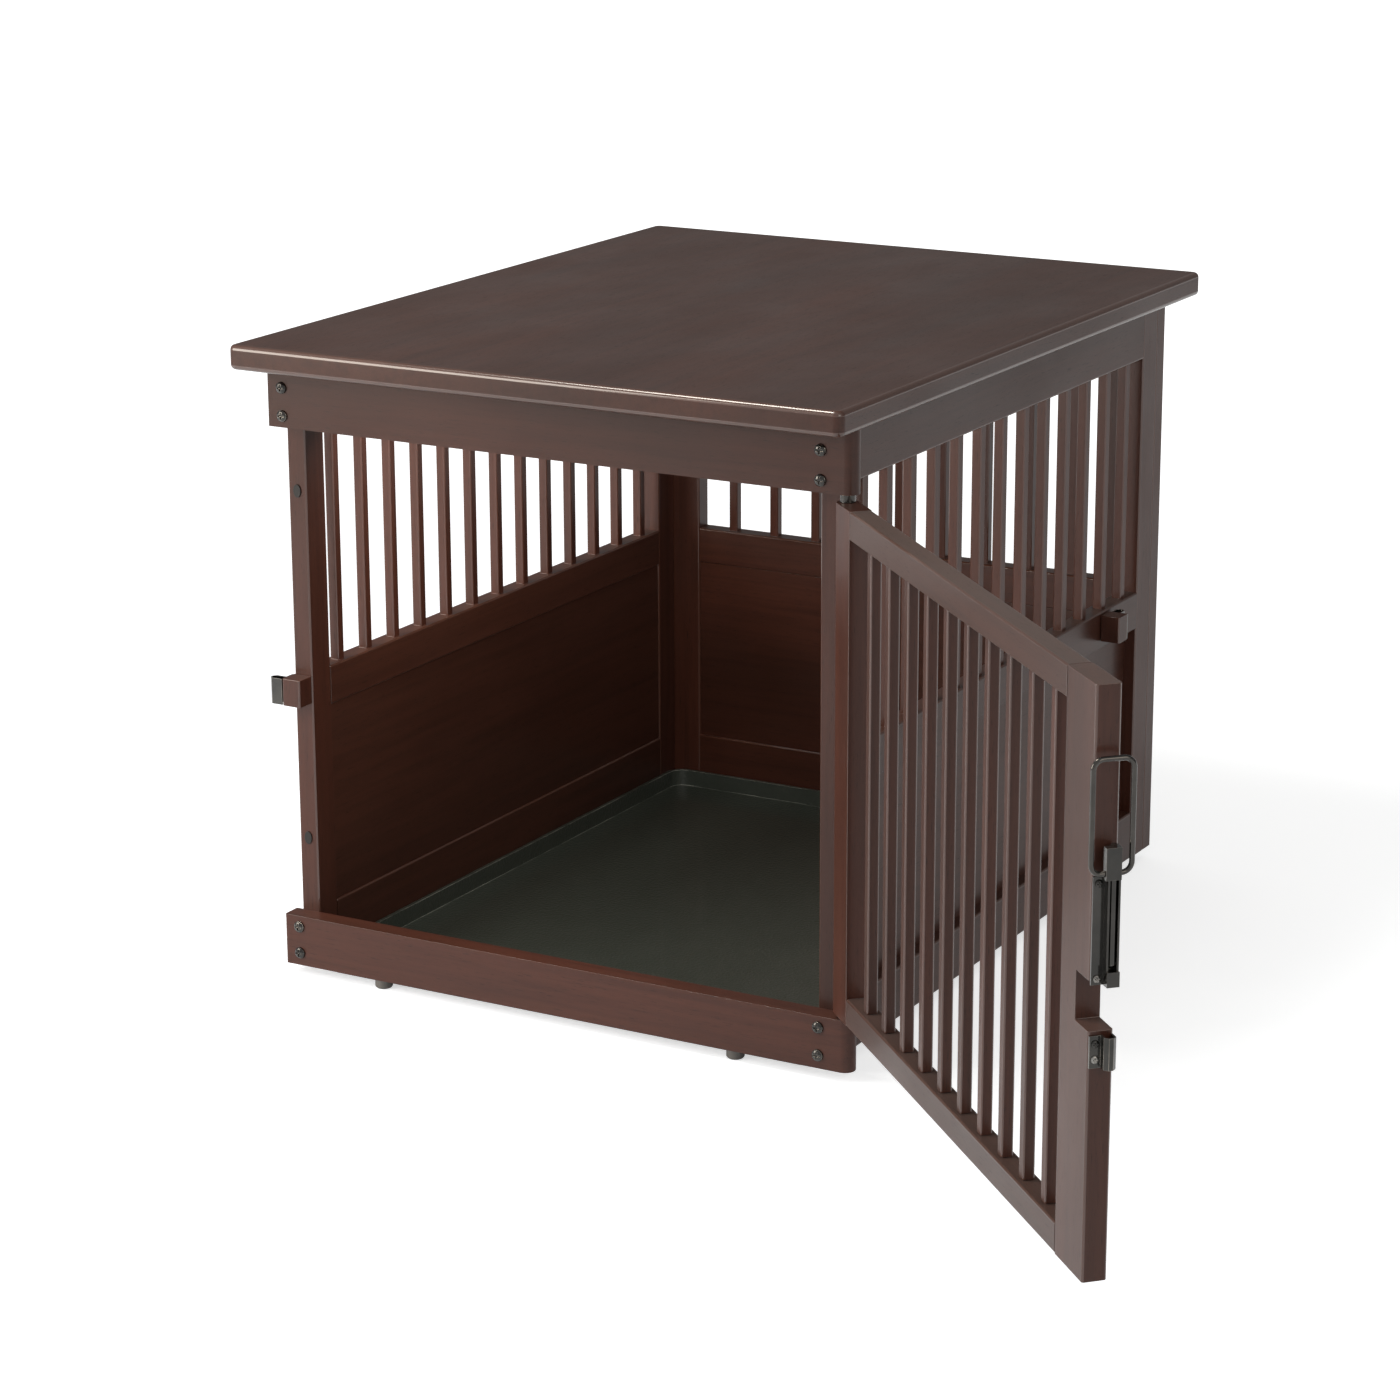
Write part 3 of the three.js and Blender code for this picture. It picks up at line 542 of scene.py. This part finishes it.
def rounded_copy(node, name, material, radius, segments=3, sharp=20, ease_width=0.0):
    shape = merged_solid(node)
    bmesh.ops.dissolve_limit(shape, angle_limit=flat_angle, verts=shape.verts, edges=shape.edges)
    manifold = [edge for edge in shape.edges if edge.is_manifold]
    edges = [edge for edge in manifold if edge.calc_face_angle() > math.radians(sharp)]
    rounded = round_edges(shape, edges, radius, segments)
    mark_board(shape, next_board(), rounded, ease_width)
    piece = to_piece(shape, name, material, node)
    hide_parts(node)
    return piece


print("piece helpers ready")

# %% [markdown]
# Every plain board is named for its place, and its name says which way its grain runs. The middle rails
# with their bars and the tabletop come in later cells.

# %% Boards
board_round = 0.45 * mm
board_ease = 1.8 * mm


def grain_of(node):
    if node.startswith("door_") and node.endswith("_rail"):
        return "door"
    if node == "door_free_stile" or "door_bar" in node:
        return "door_z"
    if "stile" in node or "keeper_block" in node:
        return "z"
    if "lower_panel" in node or "bottom_rail" in node or "top_rail" in node:
        return "y" if node.startswith(("left_", "right_")) else "x"
    return None


boards = {node: grain_of(node) for node in sorted(frame["nodes"]) if grain_of(node)}
for node, grain in boards.items():
    rounded_copy(node, f"{node}_wood", wood[grain], board_round, ease_width=board_ease)
print(f"{len(boards)} boards rounded")

# %% [markdown]
# The sides and the back have a middle rail with a row of square bars above it, which are one solid. Its
# rail's grain runs along the rail and its bars' grain runs up, so the copy takes two materials: faces
# whose middle lies above the rail get the upright one.

# %% Middle rails with their bars
bar_round = 0.35 * mm
middle_rail_height = 36 * mm
bar_margin = 0.2 * mm


def barred_panel(node, rail_grain):
    piece = rounded_copy(node, f"{node}_wood", wood[rail_grain], bar_round, ease_width=board_ease)
    piece.data.materials.append(wood["z"])
    low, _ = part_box(node)
    for face in piece.data.polygons:
        face.material_index = 1 if face.center.z > low.z + middle_rail_height + bar_margin else 0


barred_rails = {"left_barred_rail": "y", "right_barred_rail": "y", "back_barred_rail": "x"}
for node, rail_grain in barred_rails.items():
    barred_panel(node, rail_grain)
print(f"{len(barred_rails)} barred panels")

# %% [markdown]
# ## Tabletop
# The top is one thick slab with softly rounded corners and a generous round along its upper and lower
# edges, which gives the long bright line in the photograph. A cube is stretched to the slab's box, its
# four upright edges are rounded first, and then the rims are rounded with more steps than the solid has.

# %% Tabletop slab
level_tolerance = 1e-7


def tabletop(corner_radius, edge_radius, corner_steps, edge_steps):
    low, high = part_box("table_top")
    shape = bmesh.new()
    size = high - low
    place = Matrix.Translation((low + high) / 2) @ Matrix.Diagonal((*size, 1))
    bmesh.ops.create_cube(shape, size=1, matrix=place)
    upright = [edge for edge in shape.edges if abs((edge.verts[0].co - edge.verts[1].co).z) > size.z / 2]
    round_edges(shape, upright, corner_radius, corner_steps)
    rims = [edge for edge in shape.edges if abs(edge.verts[0].co.z - edge.verts[1].co.z) < level_tolerance]
    rounded = round_edges(shape, rims, edge_radius, edge_steps)
    mark_board(shape, next_board(), rounded)
    piece = to_piece(shape, "tabletop_slab", wood["top"], "table_top")
    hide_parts("table_top")
    print(f"tabletop {size.x:.3f} x {size.y:.3f} m, {len(rounded)} faces in its rims")


tabletop(corner_radius=8 * mm, edge_radius=4.5 * mm, corner_steps=10, edge_steps=6)

# %% [markdown]
# ## Metal fittings
# The screws, pins, straps, channel and bolt keep their solids' shapes with a very small round, because
# folded sheet and turned heads have crisp edges.

# %% Screws, pins, straps and bolt
metal_round = 0.2 * mm
fittings = [node for node in sorted(frame["nodes"]) if node.endswith(("_screw", "_pin", "_strap"))]
fittings += ["latch_channel", "latch_guide", "latch_bolt"]
for node in fittings:
    rounded_copy(node, f"{node}_bronze", bronze, metal_round, segments=2, sharp=30)
print(f"{len(fittings)} fittings")

# %% [markdown]
# The latch plates and the keeper straps are held by small pan head screws, which are the rail screws
# again at about half their size. One of those solids is cut just above the rail's face, so that only its
# head with the cross recess stays, and the cut is closed. The plates stand on turned faces, so each
# place is measured in a frame that is turned about the door's pivot.

# %% Frames turned about the pivot
def frame_at(turn):
    return Matrix.Translation((pivot.x, pivot.y, floor_level)) @ Matrix.Rotation(turn, 4, "Z")


def box_in(place, node):
    inside = place.inverted()
    points = [inside @ vert.co for vert in frame["nodes"][node].data.vertices]
    low = Vector([min(point[i] for point in points) for i in range(3)])
    high = Vector([max(point[i] for point in points) for i in range(3)])
    return low, high


print("turned frames ready")

# %% [markdown]
# Each plate gets two screw heads, a zinc one below and a bronze one above, beside the hump that holds
# the bolt. The list gives each plate's turn, and the heights of its lower and upper screw above its
# foot.

# %% Small plate screws
rail_screw = "left_top_upper_screw"
screw_share = 0.55
head_height = 2.9 * mm
sheet_thickness = 1.5 * mm
hump_width = 9.4 * mm


def plate_screw(name, node, place, spot, material):
    shape = merged_solid(rail_screw)
    low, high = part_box(rail_screw)
    seat = Vector(((low.x + high.x) / 2, low.y + head_height, (low.z + high.z) / 2))
    everything = shape.verts[:] + shape.edges[:] + shape.faces[:]
    cut = bmesh.ops.bisect_plane(
        shape, geom=everything, plane_co=seat, plane_no=(0, 1, 0), clear_outer=True)
    rim = [item for item in cut["geom_cut"] if isinstance(item, bmesh.types.BMEdge)]
    bmesh.ops.holes_fill(shape, edges=rim)
    bmesh.ops.recalc_face_normals(shape, faces=shape.faces)
    shrunk = Matrix.Diagonal((screw_share, screw_share, screw_share, 1))
    to_spot = Matrix.Translation(spot) @ Matrix.Rotation(quarter, 4, "Z") @ shrunk
    bmesh.ops.transform(shape, verts=shape.verts, matrix=place @ to_spot @ Matrix.Translation(-seat))
    mark_board(shape, 0.0)
    to_piece(shape, name, material, node, smooth_angle=40)


plates = {
    "latch_channel": (door_turn, 4.6 * mm, 74 * mm),
    "latch_guide": (door_turn, 6.5 * mm, 18 * mm),
    "left_keeper_strap": (math.pi, 6.5 * mm, 18 * mm),
    "right_keeper_strap": (quarter, 6.5 * mm, 18 * mm),
}
for node, (turn, *levels) in plates.items():
    place = frame_at(turn)
    low, high = box_in(place, node)
    across = (low.y + high.y - hump_width) / 2
    for level, word, material in zip(levels, ("lower", "upper"), (zinc_steel, bronze)):
        spot = (low.x + sheet_thickness, across, low.z + level)
        plate_screw(f"{node}_{word}_screw_head", node, place, spot, material)
print(f"{2 * len(plates)} plate screws")

# %% [markdown]
# The bolt is lifted by a loop of round wire. A ring of points starts on one straight side and is pushed
# along each straight and spun round each corner until it meets itself, which is how the wire itself is
# bent. A curve with a round bevel would look the same, but its corners would be less even.

# %% Wire loop handle
ring_merge = 0.01 * mm


def items_of(made, kind):
    return [item for item in made if isinstance(item, kind)]


def wire_loop(wire_radius, corner_radius, sides=16, corner_steps=8):
    place = frame_at(door_turn)
    low, high = box_in(place, "latch_handle")
    half_width = (high.y - low.y) / 2 - wire_radius
    half_height = (high.z - low.z) / 2 - wire_radius
    shape = bmesh.new()
    start = Matrix.Translation((0, half_width, -half_height + corner_radius))
    ring = bmesh.ops.create_circle(
        shape, cap_ends=False, radius=wire_radius, segments=sides, matrix=start)
    edges = list({edge for vert in ring["verts"] for edge in vert.link_edges})
    y, z = half_width - corner_radius, half_height - corner_radius
    runs = [(0, 0, 2 * z), (0, -2 * y, 0), (0, 0, -2 * z), (0, 2 * y, 0)]
    centres = [(0, y, z), (0, -y, z), (0, -y, -z), (0, y, -z)]
    for step, centre in zip(runs, centres):
        made = bmesh.ops.extrude_edge_only(shape, edges=edges)
        moved = items_of(made["geom"], bmesh.types.BMVert)
        edges = items_of(made["geom"], bmesh.types.BMEdge)
        edges = [edge for edge in edges if all(vert in moved for vert in edge.verts)]
        bmesh.ops.translate(shape, verts=moved, vec=step)
        made = bmesh.ops.spin(
            shape, geom=moved + edges, cent=centre, axis=(1, 0, 0), angle=quarter, steps=corner_steps,
            use_duplicate=False)
        edges = items_of(made["geom_last"], bmesh.types.BMEdge)
    bmesh.ops.remove_doubles(shape, verts=shape.verts, dist=ring_merge)
    bmesh.ops.recalc_face_normals(shape, faces=shape.faces)
    tall = max(vert.co.z for vert in shape.verts) - min(vert.co.z for vert in shape.verts)
    bmesh.ops.transform(
        shape, verts=shape.verts, matrix=place @ Matrix.Translation((low + high) / 2))
    mark_board(shape, 0.0)
    piece = to_piece(shape, "latch_wire_loop", wire_steel, "latch_handle", smooth_angle=60)
    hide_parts("latch_handle")
    print(f"wire loop {tall:.4f} m tall in a box {high.z - low.z:.4f} m tall")


wire_loop(wire_radius=2 * mm, corner_radius=7.5 * mm)

# %% [markdown]
# ## Tray, bumpers and feet
# The tray is a shallow moulded pan with a soft rim. The bumpers are small rubber ovals that stop the
# closed door, and the feet are turned nylon glides.

# %% Tray, bumpers and feet
tray_round = 1.4 * mm
pad_round = 0.45 * mm
glide_round = 0.3 * mm
rounded_copy("floor_tray", "floor_tray_pan", tray_plastic, tray_round, segments=4)
for node in ("lower_bumper", "upper_bumper"):
    rounded_copy(node, f"{node}_pad", bumper_rubber, pad_round, segments=3, sharp=45)
feet = [node for node in sorted(frame["nodes"]) if node.endswith("_foot")]
for node in feet:
    rounded_copy(node, f"{node}_glide", glide_nylon, glide_round, segments=2, sharp=30)
print(f"tray, bumpers and {len(feet)} feet done")

# %% [markdown]
# ## Sizes
# The box of the imported model, kept when it was loaded, is printed.

# %% Sizes and finish
print("packed box", packed_box)
